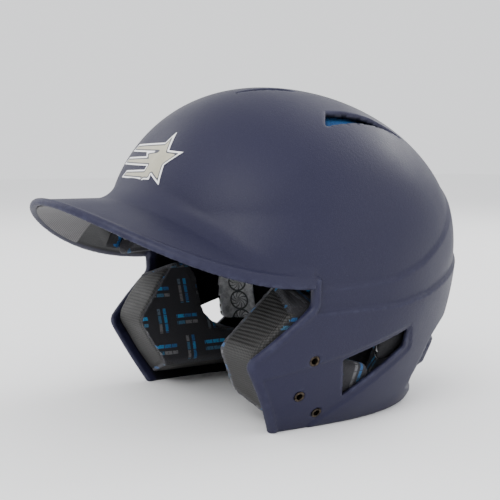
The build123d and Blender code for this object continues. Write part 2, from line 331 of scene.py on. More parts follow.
EAR_WINDOW = [(-8.5, 42.5), (40.7, 56.5), (40.0, 45.5), (-2.3, 18.5)]
CROWN_VENTS = [
    [(19, 1), (31, 6), (16, -36)],
    [(24, 57), (36, 66), (42, 90)],
    [(60, 7), (72, -2), (60, 72), (56, 42)],
]
REAR_INSET = [(-60, 63), (60, 60.5), (82, 52.5), (85, 45), (82, 30), (74, 13), (56, 6), (-60, 4)]
REAR_INSET_DEPTH, REAR_INSET_BEVEL = 3.6, 5.0
REAR_PANEL = [(-60, 40), (64, 40), (67, 37), (64.5, 24), (44, 19.5), (0, 16.7), (-60, 16.7)]
REAR_PANEL_RISE, REAR_PANEL_BEVEL = 2.0, 2.4
REAR_VENT = [(68, 51), (82, 50), (80, 40)]
FLAP_RECESS = [(-90, 29), (-8, 45.5), (42, 59), (46, 43.5), (-20, 1.5), (-24, -8), (-90, -8)]
FLAP_RECESS_DEPTH, FLAP_RECESS_BEVEL = 0.9, 1.8
GUARD_HOLES = {"upper": (-29.0, 44.0), "front": (-34.0, 22.4), "lower": (-18.0, 9.6)}
GUARD_BORE = 3.3

# Raised levels of the shell over its base face
DOME_LEVEL, BAND_LEVEL, BELT_LEVEL = -0.8, 0.6, 2.5
BLEND_TOP_Z, BLEND_LOW_Z = 150.0, 85.0  # between these the base face passes from dome to belt

RELIEF_TOP_Z, RELIEF_FADE = 180.0, 24.0
BAND_BEVEL, BELT_BEVEL = 3.0, 2.6

# The raised spine down the back: its half widths inside and outside the bevel at its top, and how much
# they gain down to its foot
SPINE_TOP_Z, SPINE_HEIGHT = 154.0, 53.0
SPINE_INNER, SPINE_INNER_GAIN = 25.4, 6.3
SPINE_OUTER, SPINE_OUTER_GAIN = 29.8, 9.6

RELIEF_AXIS_Y = 9.0
# The band's top and the belt's top as heights, by the angle round from the side towards the back
BAND_TOP = [(-24, 86), (-11, 86), (10, 88.5), (22, 96), (34, 108), (46, 122), (61, 140), (73, 169),
            (90, 185)]
BELT_TOP = [(-24, 72.5), (10, 73), (25, 77), (40, 84.5), (54, 92), (68, 100), (90, 102)]


def line_step(table, angle, z, width, reach=100.0):
    """1 below a line on the shell, 0 above it, with a bevel of that width between."""
    angles, heights = np.array(table, float).T
    line = np.interp(angle, angles, heights)
    before, after = (np.interp(angle + turn, angles, heights) for turn in (-1, 1))
    slope = (after - before) / math.radians(2)
    away = (z - line) / np.sqrt(1 + (slope / reach) ** 2)
    return smooth(0.5 - away / width)


def relief(x, y, z):
    """How far the shell's outer face stands over its base face."""
    side = np.abs(x)
    angle = np.degrees(np.arctan2(y - RELIEF_AXIS_Y, side))
    behind = smooth((y - 10) / 30)
    band = line_step(BAND_TOP, angle, z, BAND_BEVEL * (1 + smooth((angle - 45) / 15)))
    belt = line_step(BELT_TOP, angle, z, BELT_BEVEL)
    down = (SPINE_TOP_Z - z) / SPINE_HEIGHT
    inner, outer = SPINE_INNER + down * SPINE_INNER_GAIN, SPINE_OUTER + down * SPINE_OUTER_GAIN
    spine = smooth((outer - side) / np.maximum(outer - inner, 1.0)) * behind
    fade = smooth((RELIEF_TOP_Z - z) / RELIEF_FADE)
    raised = DOME_LEVEL + (BAND_LEVEL - DOME_LEVEL) * band * np.where(angle > 60, fade, 1)
    raised = raised + (BELT_LEVEL - raised) * np.maximum(belt, spine * fade)
    raised = raised - BELT_LEVEL * smooth((BLEND_TOP_Z - z) / (BLEND_TOP_Z - BLEND_LOW_Z))
    panel = smooth(0.5 - polygon(PANEL, side, z) / REAR_PANEL_BEVEL) * (y > 60)
    recess = smooth(0.5 - polygon(RECESS, y, z) / FLAP_RECESS_BEVEL) * (side > 40)
    return raised + REAR_PANEL_RISE * panel - FLAP_RECESS_DEPTH * recess


def dent(x, y, z):
    """How far the whole wall is set in at the lower back. It runs out towards the lower rim."""
    inside = smooth(0.5 - polygon(INSET, np.abs(x), z) / REAR_INSET_BEVEL)
    return REAR_INSET_DEPTH * inside * smooth((y - 30) / 15) * smooth((z + 4) / 20)


def brim_parts(x, y, z):
    """Distance across the brim's middle surface and distance in plan to its rim."""
    tilt = 1 / np.sqrt(1 + (2 * BRIM_ARCH * x) ** 2)
    across = (z - (BRIM_Z - BRIM_WALL / 2 - BRIM_ARCH * x * x)) * tilt
    half_length = BRIM_ROOT_Y - BRIM_TIP_Y
    level = np.hypot(x / BRIM_HALF_WIDTH, (y - BRIM_ROOT_Y) / half_length)
    slope = np.hypot(x / BRIM_HALF_WIDTH**2, (y - BRIM_ROOT_Y) / half_length**2) / np.maximum(level, 1e-6)
    return across, (level - 1) / np.maximum(slope, 1e-4)


def guard_axis(y, z):
    """Point and outward direction of the +X side's base face at (y, z)."""
    x = HALF_WIDTH
    for _ in range(8):
        x -= float(head(np.array([x]), np.array([y]), np.array([z]))[0])
    point = np.array([[x, y, z]])
    return point[0], slopes(head, point)[0]


def guard_parts(x, y, z):
    """For each guard hole of the +X side, distances outward along its axis and away from it."""
    for point, direction in GUARD_AXES.values():
        away = np.stack([x - point[0], y - point[1], z - point[2]], -1)
        along = away @ direction
        yield along, np.sqrt(np.maximum(np.sum(away * away, -1) - along * along, 0))


def shell_field(x, y, z):
    side = np.abs(x)
    base = head(x, y, z) + dent(x, y, z)
    outer = base - relief(x, y, z)
    across, rim = brim_parts(x, y, z)
    brim = meet(np.abs(across) - BRIM_WALL / 2, rim, 1.6)
    brim = union(brim, np.hypot(rim + LIP_INSET, across) - BRIM_LIP, 1.0)
    brim = np.maximum(brim, y - BRIM_ROOT_Y)
    body = union(outer, brim, BROW_FILLET + (TEMPLE_FILLET - BROW_FILLET) * smooth(side / TEMPLE_X))

    under = across + BRIM_WALL / 2
    edge = polygon(FACE_CUT, y, z)
    body = meet(body, -(outer + WALL), 0.8)
    body = meet(body, -np.maximum(under, edge), 1.2)
    lip = np.hypot(edge - LIP_INSET, base + WALL / 2) - FLAP_LIP
    body = union(body, np.maximum(np.maximum(lip, under - 4), -edge - 1), 1.0)
    body = meet(body, -z, 1.2)

    window = polygon(WINDOW, y, z) - np.clip(base + 1.2, 0, 3)
    cuts = [np.maximum(window, 40 - side)]
    spread = VENT_SPREAD * np.clip(base + 1.0, 0, 3)
    cuts.append(np.maximum(polygon(REAR_CORNER, side, z) - spread, 50 - y))
    cuts += [np.maximum(polygon(vent, side, y) - spread, 130 - z) for vent in VENTS]
    for cut in cuts:
        body = meet(body, -cut, CUT_EDGE)
    for along, radius in guard_parts(side, y, z):
        hole = np.maximum(radius - GUARD_BORE - np.clip(along + 0.6, 0, 1.5), np.abs(along) - 12)
        body = np.maximum(body, -hole)
    return body


FACE_CUT = filleted([(-33, 160), *FLAP_EDGE, (-38, -30), (-200, -30), (-200, 160)], 7)
INSET = filleted(REAR_INSET, 8)
PANEL = filleted(REAR_PANEL, 2.5)
RECESS = filleted(FLAP_RECESS, 3)
REAR_CORNER = filleted(REAR_VENT, 1.5)
WINDOW = filleted(EAR_WINDOW, 1.5)
VENTS = [filleted(corners, 1.5) for corners in CROWN_VENTS]
GUARD_AXES = {name: guard_axis(y, z) for name, (y, z) in GUARD_HOLES.items()}


def make_shell():
    return skin("shell_skin", shell_field, SHELL_CELL)


# ---- foam and pads

# Depths below the shell's base face
LINER_TOP, REAR_LINER_TOP, LINER_BOTTOM = 6.6, 8.2, 14.0
PAD_TOP, PAD_BOTTOM = 14.4, 23.5
JAW_PAD_TOP = 5.8
EAR_PANEL_TOP, EAR_PANEL_BOTTOM = 6.6, 11.0

PAD_EDGE = 3.5  # thickness of a pad at its border
PAD_SEAM, SEAM_INSET, SEAM_WIDTH = 0.8, 3.4, 1.3  # a seam's depth, inset and width
PUFF, PUFF_ROOM = 0.5, 0.6  # swell of a pad's face, and what is kept free for it
ARC_PER_DEGREE = 1.7  # millimetres round the inside of the head
CHANNEL_HALF_WIDTH, CHANNEL_DEPTH = 2.2, 2.5

# Liner faces below this height get black foam as painted shade.
LINER_SHADE_BELOW_Z = 70.0
EAR_PRINT_DEPTH = 1.6

PAD_CELL = 1.6
LINER_CELL = 2.2


def rounded_box(a, b, corner):
    """Distance to a rectangle with rounded corners, from the distances past its two pairs of sides."""
    a, b = a + corner, b + corner
    return np.hypot(np.maximum(a, 0), np.maximum(b, 0)) + np.minimum(np.maximum(a, b), 0) - corner


def wrapped(from_deg, to_deg, z_from, z_to, corner):
    """Border distance of an area of the head, its angles from straight ahead by the wearer's left."""
    middle, half = (from_deg + to_deg) / 2, (to_deg - from_deg) / 2

    def border(x, y, z):
        angle = np.degrees(np.arctan2(x, -y)) - middle
        angle = np.abs((angle + 180) % 360 - 180)
        across = np.radians(angle - half) * np.hypot(x, y)
        return rounded_box(across, np.abs(z - (z_from + z_to) / 2) - (z_to - z_from) / 2, corner)

    return border


def over_crown(half_width, half_length, y_mid, corner, z_low):
    """Border distance of a rectangle seen from above, over the crown."""

    def border(x, y, z):
        flat = rounded_box(np.abs(x) - half_width, np.abs(y - y_mid) - half_length, corner)
        return np.maximum(flat, z_low - z)

    return border


def seen_from_side(corners, radius):
    """Border distance of an outline seen from the side, on the +X side."""
    outline = filleted(corners, radius)

    def border(x, y, z):
        return np.maximum(polygon(outline, y, z), 30 - x)

    return border


def padding(border, top, bottom, edge, crowned, seam=0.0):
    """A pad inside the head: edge thick at its border, full thickness a crowned width further in."""

    def field(x, y, z):
        rim = border(x, y, z)
        depth = -head(x, y, z) - top
        share = np.clip(-rim / crowned, 0, 1)
        puff = np.sin(x / 7.3) * np.sin(y / 8.1 + 1) * np.sin(z / 6.7 + 2)
        full = bottom - top - PUFF_ROOM
        thickness = edge + (full - edge) * np.sqrt(1 - (1 - share) ** 2) + PUFF * puff * share
        thickness = thickness - seam * np.exp(-(((-rim - SEAM_INSET) / SEAM_WIDTH) ** 2))
        return meet(np.maximum(-depth, depth - thickness), rim, 1.2)

    return field


def channelled(border, top, bottom, pitch):
    """A foam block on the inside of the head, with air channels across its inner face."""

    def field(x, y, z):
        depth = -head(x, y, z) - top
        wave = np.abs((np.degrees(np.arctan2(x, -y)) / pitch) % 1 - 0.5) * pitch * ARC_PER_DEGREE
        channel = np.maximum(wave - CHANNEL_HALF_WIDTH, bottom - top - CHANNEL_DEPTH - depth)
        block = meet(np.maximum(-depth, depth - (bottom - top)), border(x, y, z), 1.0)
        return np.maximum(block, -channel)

    return field


JAW_SIDE = [(-33, 86), (-22, 90), (-15, 76), (-14, 52), (-3, 40), (15, 37), (21, 30), (19, 3),
            (-38, 3), (-43, 6), (-64, 46), (-62.5, 52)]
JAW_FRONT = [(63, 88), (42, 22), (46, 16), (76, 5.5), (120, -10), (120, 68)]
JAW_ROUNDING = 6.5
JAW_PIPING, JAW_PIPING_INSET = 1.1, 2.4
JAW_FABRIC_STRIP = 4.4  # how far the fabric comes round the front's edge
INSERT_POCKET, INSERT_POCKET_DEPTH = 7.2, 8.4
EAR_PANEL = [(22.5, 38.5), (49.5, 36.5), (51.5, 78.5), (24.5, 79.5)]


def jaw_pad_parts(x, y, z):
    """Distances past the jaw pad's outline seen from the side and from the front."""
    return polygon(JAW_SIDE_LINE, y, z), polygon(JAW_FRONT_LINE, x, z)


def jaw_pad_field(x, y, z):
    side, front = jaw_pad_parts(x, y, z)
    base = head(x, y, z) + JAW_PAD_TOP
    block = meet(side + 0.6, front + 0.6, JAW_ROUNDING)
    block = meet(block, base + 0.3, 3.0) + 0.3 * np.sin(y / 6.1) * np.sin(z / 5.3 + x / 9)
    bead = np.hypot(side + JAW_PIPING_INSET, front + JAW_PIPING_INSET) - JAW_PIPING
    bead = np.maximum(bead, base + 2)
    pad = union(block, bead, 0.5)
    for along, radius in guard_parts(x, y, z):
        pad = np.maximum(pad, -np.maximum(radius - INSERT_POCKET, -along - INSERT_POCKET_DEPTH))
    return pad


JAW_SIDE_LINE = filleted(JAW_SIDE, 11)
JAW_FRONT_LINE = filleted(JAW_FRONT, 6)


def liner(border, pitch, top=LINER_TOP):
    return channelled(border, top, LINER_BOTTOM, pitch)


def comfort_pad(border, crowned):
    return padding(border, PAD_TOP, PAD_BOTTOM, PAD_EDGE, crowned, PAD_SEAM)


def make_pads():
    """Every foam block and pad, as {node: piece}."""
    pieces = {}
    single = {
        "front_liner": liner(wrapped(-38.5, 38.5, 122, 157.5, 4), 13),
        "rear_liner": liner(wrapped(135.5, 224.5, 2.5, 157.5, 4), 15, REAR_LINER_TOP),
        "crown_liner": liner(over_crown(140, 140, 0, 5, 161.5), 30),
        "brow_pad": comfort_pad(wrapped(-35.5, 35.5, 118.5, 153.5, 7), 13),
        "crown_pad": comfort_pad(over_crown(41.5, 57.5, 6, 18, 150), 15),
    }
    paired = {
        "liner": liner(wrapped(43.5, 127.5, 97, 157.5, 4), 14),
        "temple_pad": comfort_pad(wrapped(46.4, 85.6, 92.5, 151.5, 8), 14),
        "side_pad": comfort_pad(wrapped(89.4, 125.6, 92.5, 151.5, 8), 14),
        "rear_pad": comfort_pad(wrapped(139.4, 179.0, 3.5, 149.5, 8), 15),
        "ear_panel": padding(seen_from_side(EAR_PANEL, 4), EAR_PANEL_TOP, EAR_PANEL_BOTTOM, 2.4, 5),
        "jaw_pad": jaw_pad_field,
    }
    for node, field in single.items():
        pieces[node] = skin(f"{node}_skin", field, LINER_CELL if "liner" in node else PAD_CELL)
    for name, field in paired.items():
        cell = LINER_CELL if "liner" in name else PAD_CELL
        vertices, quads = contour(field, HALF_SPACE_LOW, SPACE_HIGH, cell)
        pieces[f"left_{name}"] = add_mesh(f"left_{name}_skin", vertices, quads)
        pieces[f"right_{name}"] = add_mesh(f"right_{name}_skin", vertices * [-1, 1, 1], quads[:, ::-1])
    return pieces


# ---- printed pieces

PRINT_LIFT, PRINT_THICKNESS = 0.05, 0.3
FILM_BACK_Y = -93.0
FILM_RIM_GAP = 3.6
FILM_GAP, FILM_LOWER_GAP = 0.2, 0.9  # its two faces below the brim's underside


def outer_face(x, y, z):
    return head(x, y, z) + dent(x, y, z) - relief(x, y, z)


def on_shell(front, lift):
    """A function from (x, z) to the point of the shell's outer face, seen from the front or from behind."""

    def place(x, z):
        far, near = np.full(len(x), -165.0 if front else 165.0), np.zeros(len(x))
        for _ in range(30):
            y = (far + near) / 2
            outside = outer_face(x, y, z) > lift
            far, near = np.where(outside, y, far), np.where(outside, near, y)
        return np.stack([x, near, z], 1)

    return place


def under_brim(gap):
    """A function from (x, y) to the point a gap below the brim."""

    def place(x, y):
        return np.stack([x, y, BRIM_Z - BRIM_WALL - BRIM_ARCH * x * x - gap], 1)

    return place


def resampled(loop, pitch):
    """Points at about that pitch round a closed loop, its corners kept."""
    points = []
    for start, end in zip(loop, np.roll(loop, -1, axis=0)):
        count = max(1, round(float(np.linalg.norm(end - start)) / pitch))
        points += [start + (end - start) * step / count for step in range(count)]
    return points


def flat_triangles(loops, level, pitch):
    """Triangles of the flat area where level is negative, with the loops as its borders."""
    points, edges = [], []
    for loop in loops:
        ring = resampled(np.asarray(loop, float), pitch)
        first = len(points)
        edges += [(first + i, first + (i + 1) % len(ring)) for i in range(len(ring))]
        points += ring
    low, high = np.min(points, 0), np.max(points, 0)
    u, v = np.meshgrid(np.arange(low[0], high[0], pitch), np.arange(low[1], high[1], pitch))
    u, v = u.ravel() + 0.01, v.ravel() + 0.01
    clear = np.min([np.abs(polygon(loop, u, v)) for loop in loops], 0) > 0.5 * pitch
    keep = clear & (level(u, v) < 0)
    points += list(np.stack([u[keep], v[keep]], 1))
    found = delaunay_2d_cdt([Vector(point) for point in points], edges, [], 0, 1e-5)
    flat = np.array([tuple(point) for point in found[0]])
    faces = np.array(found[2])
    middle = flat[faces].mean(1)
    return flat, faces[level(middle[:, 0], middle[:, 1]) < 0]


def print_piece(name, loops, level, lower, upper, pitch=1.2, flipped=False):
    """A thin closed piece over a flat area, between two placed faces. It keeps its border distance."""
    flat, faces = flat_triangles(loops, level, pitch)
    used, faces = np.unique(faces, return_inverse=True)
    flat, faces = flat[used], faces.reshape(-1, 3)
    total = len(flat)
    sides = np.concatenate([faces[:, [0, 1]], faces[:, [1, 2]], faces[:, [2, 0]]])
    twins = {(b, a) for a, b in sides.tolist()}
    rim = np.array([side for side in sides.tolist() if tuple(side) not in twins])
    walls = np.concatenate([np.stack([rim[:, 0], rim[:, 0] + total, rim[:, 1]], 1),
                            np.stack([rim[:, 1], rim[:, 0] + total, rim[:, 1] + total], 1)])
    triangles = np.concatenate([faces, faces[:, ::-1] + total, walls])
    if flipped:
        triangles = triangles[:, ::-1]
    points = np.concatenate([upper(flat[:, 0], flat[:, 1]), lower(flat[:, 0], flat[:, 1])])
    piece = add_mesh(name, points, triangles, smooth_shading=False)
    mark(piece, "border", np.tile(-level(flat[:, 0], flat[:, 1]), 2))
    return piece


# Emblem: a star with stripes that trail to the wearer's right, lowest stripe first
EMBLEM_Z = 157.0
STAR_X = 19.0
STAR_RADIUS = 17.0
STRIPE_LENGTHS = (32.0, 41.0, 37.0)
STRIPE_PITCH = 8.0
STRIPE_HALF_HEIGHT = 3.0
STRIPE_TIP_HALF_HEIGHT = 2.2
STRIPE_SLANT = 5.0

# Numerals
NUMERAL_X, NUMERAL_Z = 10.5, 87.0
NUMERAL_HALF_WIDTH, NUMERAL_HALF_HEIGHT = 9.3, 16.3
NUMERAL_STROKE, NUMERAL_CHAMFER, NUMERAL_INNER_CHAMFER = 6.0, 4.5, 0.8


def star(radius, middle, waist=0.46):
    """Corners of a star standing on two points."""
    corners = []
    for step in range(10):
        reach = radius if step % 2 == 0 else radius * waist
        angle = math.pi / 2 + math.pi * step / 5
        corners.append((middle[0] + reach * math.cos(angle), middle[1] + reach * math.sin(angle)))
    return corners


def make_emblem():
    """A star with three stripes trailing to one side."""
    shapes = [star(STAR_RADIUS, (STAR_X, EMBLEM_Z))]
    for row, length in enumerate(STRIPE_LENGTHS, start=-1):
        z, tip = EMBLEM_Z + STRIPE_PITCH * row, STAR_X - length
        shapes.append([(STAR_X, z - STRIPE_HALF_HEIGHT), (STAR_X, z + STRIPE_HALF_HEIGHT),
                       (tip, z + STRIPE_TIP_HALF_HEIGHT), (tip - STRIPE_SLANT, z - STRIPE_TIP_HALF_HEIGHT)])

    def level(u, v):
        return np.min([polygon(shape, u, v) for shape in shapes], 0)

    faces = on_shell(True, PRINT_LIFT), on_shell(True, PRINT_LIFT + PRINT_THICKNESS)
    return print_piece("front_emblem_print", shapes, level, *faces, pitch=0.9)


def make_numeral(name, middle_x):
    """A block nought."""

    def outline(inset, cut):
        w, h = NUMERAL_HALF_WIDTH - inset, NUMERAL_HALF_HEIGHT - inset
        corners = [(-w, -h + cut), (-w + cut, -h), (w - cut, -h), (w, -h + cut),
                   (w, h - cut), (w - cut, h), (-w + cut, h), (-w, h - cut)]
        return [(middle_x + x, NUMERAL_Z + z) for x, z in corners]

    outer = filleted(outline(0, NUMERAL_CHAMFER), 0.6)
    inner = filleted(outline(NUMERAL_STROKE, NUMERAL_INNER_CHAMFER), 0.3)

    def level(u, v):
        return np.maximum(polygon(outer, u, v), -polygon(inner, u, v))

    faces = on_shell(False, PRINT_LIFT), on_shell(False, PRINT_LIFT + PRINT_THICKNESS)
    return print_piece(name, [outer, inner], level, *faces, flipped=True)


def make_film():
    """The thin textured film under the front of the brim."""
    rim = BRIM_HALF_WIDTH - FILM_RIM_GAP, BRIM_ROOT_Y - BRIM_TIP_Y - FILM_RIM_GAP
    end = math.degrees(math.acos((BRIM_ROOT_Y - FILM_BACK_Y) / rim[1])) - 1
    arc = [math.radians(a) for a in np.linspace(-end, end, 41)]
    shape = filleted([(rim[0] * math.sin(a), BRIM_ROOT_Y - rim[1] * math.cos(a)) for a in arc], 4)

    def level(u, v):
        return polygon(shape, u, v)

    faces = under_brim(FILM_GAP), under_brim(FILM_LOWER_GAP)
    return print_piece("brim_film", [shape], level, *faces, pitch=3.0, flipped=True)


# ---- materials

class Looks:
    """One procedural material, its nodes written as expressions."""

    def __init__(self, name, uniform=()):
        self.material = bpy.data.materials.new(name)
        self.material.use_nodes = True
        self.tree = self.material.node_tree
        self.shader = self.tree.nodes["Principled BSDF"]
        for socket, value in uniform:
            self.shader.inputs[socket].default_value = value

    def feed(self, socket, value):
        if isinstance(value, bpy.types.NodeSocket):
            self.tree.links.new(value, socket)
        else:
            socket.default_value = value

    def node(self, kind, inputs, output=0, **settings):
        node = self.tree.nodes.new(kind)
        for key, value in settings.items():
            setattr(node, key, value)
        for key, value in inputs.items():
            self.feed(node.inputs[key], value)
        return node.outputs[output]

    def math(self, operation, *values):
        return self.node("ShaderNodeMath", dict(enumerate(values)), operation=operation)

    def step(self, value, low, high):
        """0 below low, 1 above high, smooth between."""
        inputs = {"Value": value, "From Min": low, "From Max": high}
        return self.node("ShaderNodeMapRange", inputs, interpolation_type="SMOOTHSTEP")

    def mix(self, share, first, second):
        """Colour that passes from first to second."""
        node = self.tree.nodes.new("ShaderNodeMix")
        node.data_type = "RGBA"
        self.feed(node.inputs[0], share)
        for index, value in ((6, first), (7, second)):
            self.feed(node.inputs[index], value if isinstance(value, bpy.types.NodeSocket) else (*value, 1))
        return node.outputs[2]

    def place(self):
        """Where the surface is, in the piece's own metres."""
        return self.node("ShaderNodeTexCoord", {}, output=3)

    def noise(self, where, scale, detail=2.0, roughness=0.5):
        inputs = {"Vector": where, "Scale": scale, "Detail": detail, "Roughness": roughness}
        return self.node("ShaderNodeTexNoise", inputs)

    def uv(self):
        """The piece's flat coordinates in millimetres."""
        where = self.node("ShaderNodeUVMap", {}, uv_map="flat")
        parts = self.tree.nodes.new("ShaderNodeSeparateXYZ")
        self.feed(parts.inputs[0], where)
        return parts.outputs[0], parts.outputs[1]

    def attribute(self, name):
        return self.node("ShaderNodeAttribute", {}, output=2, attribute_name=name)

    def colour(self, value):
        self.feed(self.shader.inputs["Base Color"], value)

    def rough(self, value):
        self.feed(self.shader.inputs["Roughness"], value)

    def bump(self, height, depth_mm):
        inputs = {"Height": height, "Strength": 1.0, "Distance": depth_mm * MM}
        self.feed(self.shader.inputs["Normal"], self.node("ShaderNodeBump", inputs))


def shell_looks():
    """Matt moulded plastic with a fine grain, faint cloudiness, paler edges from wear and a painted
    highlight, and near-black painted shade inside and under the brim.
    """
    look = Looks("shell_matt", (("Specular IOR Level", 0.2),))
    where = look.place()
    cloud = look.noise(where, 14, 3)
    speck = look.noise(where, 1900, 1)
    patchy = look.step(look.noise(where, 160, 4, 0.7), 0.35, 0.7)
    highlit_worn_edges = look.math("MULTIPLY", look.attribute("edge"), patchy)
    body = look.mix(look.step(cloud, 0.3, 0.7), (0.0122, 0.0119, 0.0310), (0.0148, 0.0144, 0.0360))
    body = look.mix(look.math("MULTIPLY", look.step(speck, 0.45, 0.8), 0.35), body, (0.030, 0.031, 0.055))
    # Lighter navy on convex edges, in patches: a painted highlight along the edges together with wear.
    body = look.mix(look.math("MULTIPLY", highlit_worn_edges, 0.5), body, (0.045, 0.049, 0.088))
    # Near black where the inside attribute is 1: painted shade under the brim, and painted shade with the
    # bare plastic on the inner wall.
    look.colour(look.mix(look.attribute("inside"), body, (0.0040, 0.0042, 0.0060)))
    look.rough(look.step(cloud, -0.9, 1.9))
    look.bump(look.math("ADD", speck, look.math("MULTIPLY", look.noise(where, 520, 2), 0.8)), 0.10)
    return look.material


def weave(look, u, v, pitch, turned=False):
    """Height of a plain weave in the flat coordinates, from 0 to 1."""
    if turned:
        u, v = look.math("ADD", u, v), look.math("SUBTRACT", u, v)
    rate = 2 * math.pi / pitch
    across = look.math("SINE", look.math("MULTIPLY", u, rate))
    along = look.math("SINE", look.math("MULTIPLY", v, rate))
    return look.math("MULTIPLY_ADD", look.math("MULTIPLY", across, along), 0.5, 0.5)


DASH_CELL = 19.0  # millimetres from one pair of dashes to the next
DASH_TURN = math.radians(32)
DASH_PIECES, DASH_START = 3.4, 0.3  # bits of one tone along a cell, and their offset
DASH_APART = 0.115


def dashes(look, u, v, turn):
    """Shares of blue and of grey print: pairs of dashes, every other pair turned a quarter."""
    cosine, sine = math.cos(turn) / DASH_CELL, math.sin(turn) / DASH_CELL
    a = look.math("ADD", look.math("MULTIPLY", u, cosine), look.math("MULTIPLY", v, sine))
    b = look.math("SUBTRACT", look.math("MULTIPLY", v, cosine), look.math("MULTIPLY", u, sine))
    cell_a, cell_b = look.math("FLOOR", a), look.math("FLOOR", b)
    a = look.math("SUBTRACT", look.math("SUBTRACT", a, cell_a), 0.5)
    b = look.math("SUBTRACT", look.math("SUBTRACT", b, cell_b), 0.5)
    odd = look.math("FLOORED_MODULO", look.math("ADD", cell_a, cell_b), 2.0)
    swap = look.math("SUBTRACT", 1.0, odd)
    along = look.math("ADD", look.math("MULTIPLY", a, swap), look.math("MULTIPLY", b, odd))
    across = look.math("ADD", look.math("MULTIPLY", b, swap), look.math("MULTIPLY", a, odd))
    ends = look.step(look.math("ABSOLUTE", along), 0.43, 0.415)
    bits = look.math("MULTIPLY_ADD", along, DASH_PIECES, DASH_START)
    piece = look.math("FLOOR", bits)
    spot = look.node("ShaderNodeCombineXYZ", {0: cell_a, 1: cell_b, 2: piece})
    tone = look.node("ShaderNodeTexWhiteNoise", {"Vector": spot}, output=0)
    gap = look.math("ABSOLUTE", look.math("SUBTRACT", look.math("FRACT", bits), 0.5))
    ends = look.math("MULTIPLY", ends, look.step(gap, 0.475, 0.44))
    strips = []
    for middle in (DASH_APART, -DASH_APART):
        away = look.math("ABSOLUTE", look.math("SUBTRACT", across, middle))
        strips.append(look.math("MULTIPLY", look.step(away, 0.066, 0.052), ends))
    return strips, tone


def fabric_looks(name, turn):
    """Black knit, printed with pairs of blue and grey dashes."""
    look = Looks(name, (("Sheen Weight", 0.35), ("Sheen Roughness", 0.5),
                        ("Sheen Tint", (0.5, 0.5, 0.55, 1)), ("Specular IOR Level", 0.25)))
    u, v = look.uv()
    where = look.place()
    knit = weave(look, u, v, 1.1)
    fuzz = look.noise(where, 900, 3, 0.7)
    (blue, grey), tone = dashes(look, u, v, turn)
    worn = look.step(fuzz, 0.28, 0.5)
    ground = look.mix(knit, (0.006, 0.006, 0.008), (0.020, 0.019, 0.022))
    blues = look.mix(look.step(tone, 0.2, 0.9), (0.010, 0.07, 0.19), (0.025, 0.20, 0.40))
    greys = look.mix(look.step(tone, 0.55, 0.6), (0.11, 0.11, 0.115), (0.03, 0.10, 0.17))
    cloth = look.mix(look.math("MULTIPLY", blue, worn), ground, blues)
    look.colour(look.mix(look.math("MULTIPLY", grey, worn), cloth, greys))
    look.rough(look.step(knit, -3.2, 1.6))
    look.bump(look.math("ADD", knit, look.math("MULTIPLY", fuzz, 0.6)), 0.22)
    return look.material


def vinyl_looks():
    """Black vinyl, embossed with a fine diagonal weave."""
    look = Looks("jaw_vinyl_woven", (("Specular IOR Level", 0.32),))
    u, v = look.uv()
    where = look.place()
    grain = weave(look, u, v, 3.2, turned=True)
    raised = look.step(grain, 0.35, 0.65)
    cloud = look.noise(where, 60, 3)
    body = look.mix(raised, (0.0035, 0.0034, 0.0034), (0.030, 0.029, 0.028))
    haze = look.math("MULTIPLY", look.step(cloud, 0.5, 0.8), 0.4)
    look.colour(look.mix(haze, body, (0.040, 0.039, 0.039)))
    look.rough(look.math("MULTIPLY_ADD", cloud, 0.25, 0.44))
    look.bump(raised, 0.3)
    return look.material


def foam_looks(name, dark, light):
    """Closed-cell foam with fine cells."""
    look = Looks(name, (("Roughness", 0.85), ("Specular IOR Level", 0.25)))
    where = look.place()
    cells = look.node("ShaderNodeTexVoronoi", {"Vector": where, "Scale": 900})
    cloud = look.noise(where, 35, 3)
    look.colour(look.mix(look.step(look.math("ADD", cells, cloud), 0.5, 1.1), dark, light))
    look.bump(cells, 0.15)
    return look.material


ROSETTE_PITCH = 13.5
ROSETTE_Y = 37.5
ROSETTE_RADIUS = 6.4
ROSETTE_ARMS = 5.0


def rosette_looks():
    """Mottled grey print with a column of swirled rosettes in dark lines."""
    look = Looks("ear_print_grey", (("Roughness", 0.8), ("Specular IOR Level", 0.25)))
    u, v = look.uv()
    where = look.place()
    mottle = look.noise(where, 260, 4, 0.65)
    ground = look.mix(look.step(mottle, 0.32, 0.68), (0.55, 0.55, 0.56), (0.95, 0.95, 0.96))
    row = look.math("SUBTRACT", look.math("DIVIDE", v, ROSETTE_PITCH), 0.25)
    row = look.math("MULTIPLY", look.math("SUBTRACT", look.math("FRACT", row), 0.5), ROSETTE_PITCH)
    column = look.math("SUBTRACT", u, ROSETTE_Y)
    square = look.math("ADD", look.math("MULTIPLY", column, column), look.math("MULTIPLY", row, row))
    reach = look.math("SQRT", square)
    turn = look.math("MULTIPLY", look.math("ARCTAN2", row, column), ROSETTE_ARMS)
    swirl = look.math("SINE", look.math("ADD", turn, look.math("MULTIPLY", reach, 0.75)))
    arms = look.step(look.math("ABSOLUTE", swirl), 0.42, 0.24)
    arms = look.math("MULTIPLY", arms, look.step(reach, ROSETTE_RADIUS - 0.2, ROSETTE_RADIUS - 0.5))
    ring = look.step(look.math("ABSOLUTE", look.math("SUBTRACT", reach, ROSETTE_RADIUS)), 0.75, 0.45)
    lines = look.math("MAXIMUM", arms, ring)
    look.colour(look.mix(look.math("MULTIPLY", lines, 0.85), ground, (0.035, 0.035, 0.04)))
    look.bump(look.math("ADD", weave(look, u, v, 1.0), mottle), 0.15)
    return look.material


